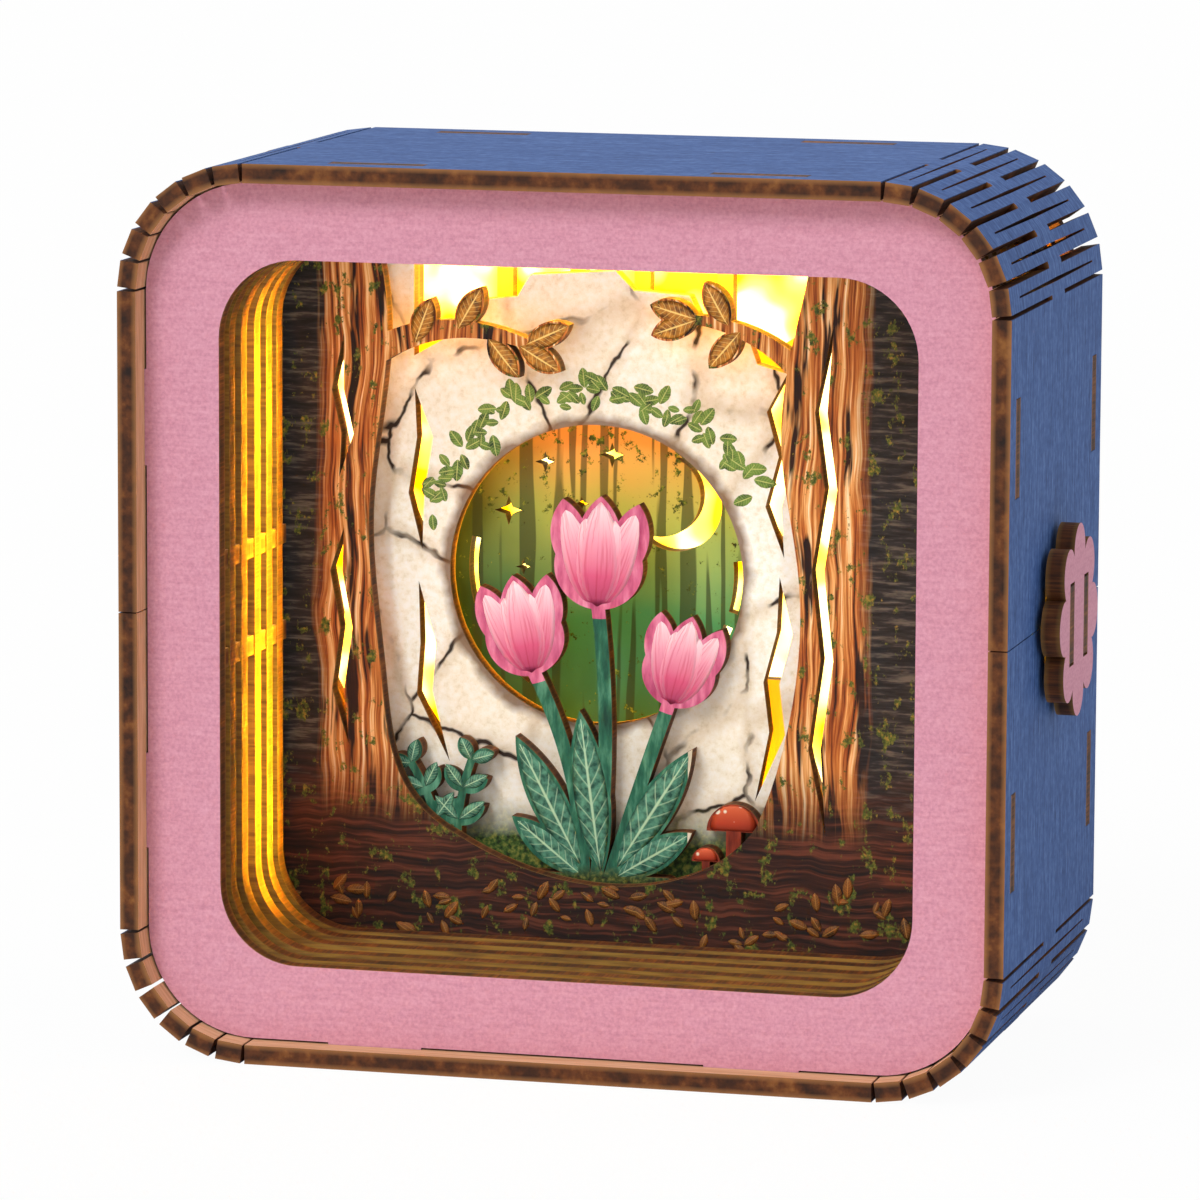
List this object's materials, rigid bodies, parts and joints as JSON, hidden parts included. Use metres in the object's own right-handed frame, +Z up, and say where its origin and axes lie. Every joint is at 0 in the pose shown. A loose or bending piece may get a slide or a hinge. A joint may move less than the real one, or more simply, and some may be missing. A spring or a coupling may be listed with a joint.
{
  "type": "book nook",
  "caption": "Lit scenery box of laser-cut plywood: a bent blue case with a pink framed window onto a layered garden scene.",
  "frame": {"origin": "middle of the case's underside, on the face it stands on", "axes": "+X to the viewer's right when looking at the window, +Y from the window to the back, +Z up"},
  "size_m": [0.1439, 0.071, 0.14],
  "materials": {
    "blue_printed_plywood": "matte print over plywood",
    "pink_printed_plywood": "matte print over plywood",
    "raw_plywood": "bare, laser-cut",
    "scene_printed_plywood": "matte print over plywood",
    "black_moulded_plastic": "moulded",
    "white_moulded_plastic": "moulded",
    "plated_steel": "nickel plated",
    "nickel_magnet": "nickel plated",
    "white_light_tape": "coated",
    "warm_light_chip": "cast resin",
    "milky_sheet": "frosted",
    "black_lead_sheath": "extruded"
  },
  "bodies": {
    "case": {"back_light_chips": "warm_light_chip", "back_light_tapes": "white_light_tape", "back_panel": "raw_plywood", "backdrop": "scene_printed_plywood", "battery_tray": "black_moulded_plastic", "cell_contacts": "plated_steel", "coin_cells": "plated_steel", "door_ledge": "raw_plywood", "feed_lead_left": "black_lead_sheath", "feed_lead_right": "black_lead_sheath", "fern_group": "scene_printed_plywood", "floor_comb_left": "raw_plywood", "floor_comb_right": "raw_plywood", "front_light_chips": "warm_light_chip", "front_light_tapes": "white_light_tape", "front_panel": "pink_printed_plywood", "garden_wall": "scene_printed_plywood", "ledge_magnets": "nickel_magnet", "left_comb_lower": "raw_plywood", "left_comb_upper": "raw_plywood", "light_diffuser": "milky_sheet", "lower_shell": "blue_printed_plywood", "right_comb_lower": "raw_plywood", "right_comb_upper": "raw_plywood", "ring_frame_a": "raw_plywood", "ring_frame_b": "raw_plywood", "ring_frame_c": "raw_plywood", "ring_frame_d": "raw_plywood", "ring_frame_e": "raw_plywood", "roof_comb_left": "raw_plywood", "roof_comb_right": "raw_plywood", "scene_light_chips": "warm_light_chip", "scene_light_tapes": "white_light_tape", "solder_lugs": "plated_steel", "switch_housing": "black_moulded_plastic", "switch_light_lead": "black_lead_sheath", "switch_pins": "plated_steel", "toadstool_group": "scene_printed_plywood", "tray_light_lead": "black_lead_sheath", "tray_switch_lead": "black_lead_sheath", "trunks_layer": "scene_printed_plywood", "tulip_cluster": "scene_printed_plywood", "upper_shell": "blue_printed_plywood"},
    "flower": {"flower_lock": "pink_printed_plywood"},
    "door": {"battery_door": "raw_plywood", "door_magnets": "nickel_magnet"},
    "slider": {"switch_slider": "white_moulded_plastic"}
  },
  "joints": [
    {"name": "flower_pull", "type": "slide", "parent": "case", "child": "flower", "axis": [1, 0, 0], "range_m": [0, 0.01]},
    {"name": "door_lift", "type": "slide", "parent": "case", "child": "door", "axis": [0, 1, 0], "range_m": [0, 0.012]},
    {"name": "switch_slide", "type": "slide", "parent": "case", "child": "slider", "axis": [-1, 0, 0], "range_m": [0, 0.003]}
  ]
}
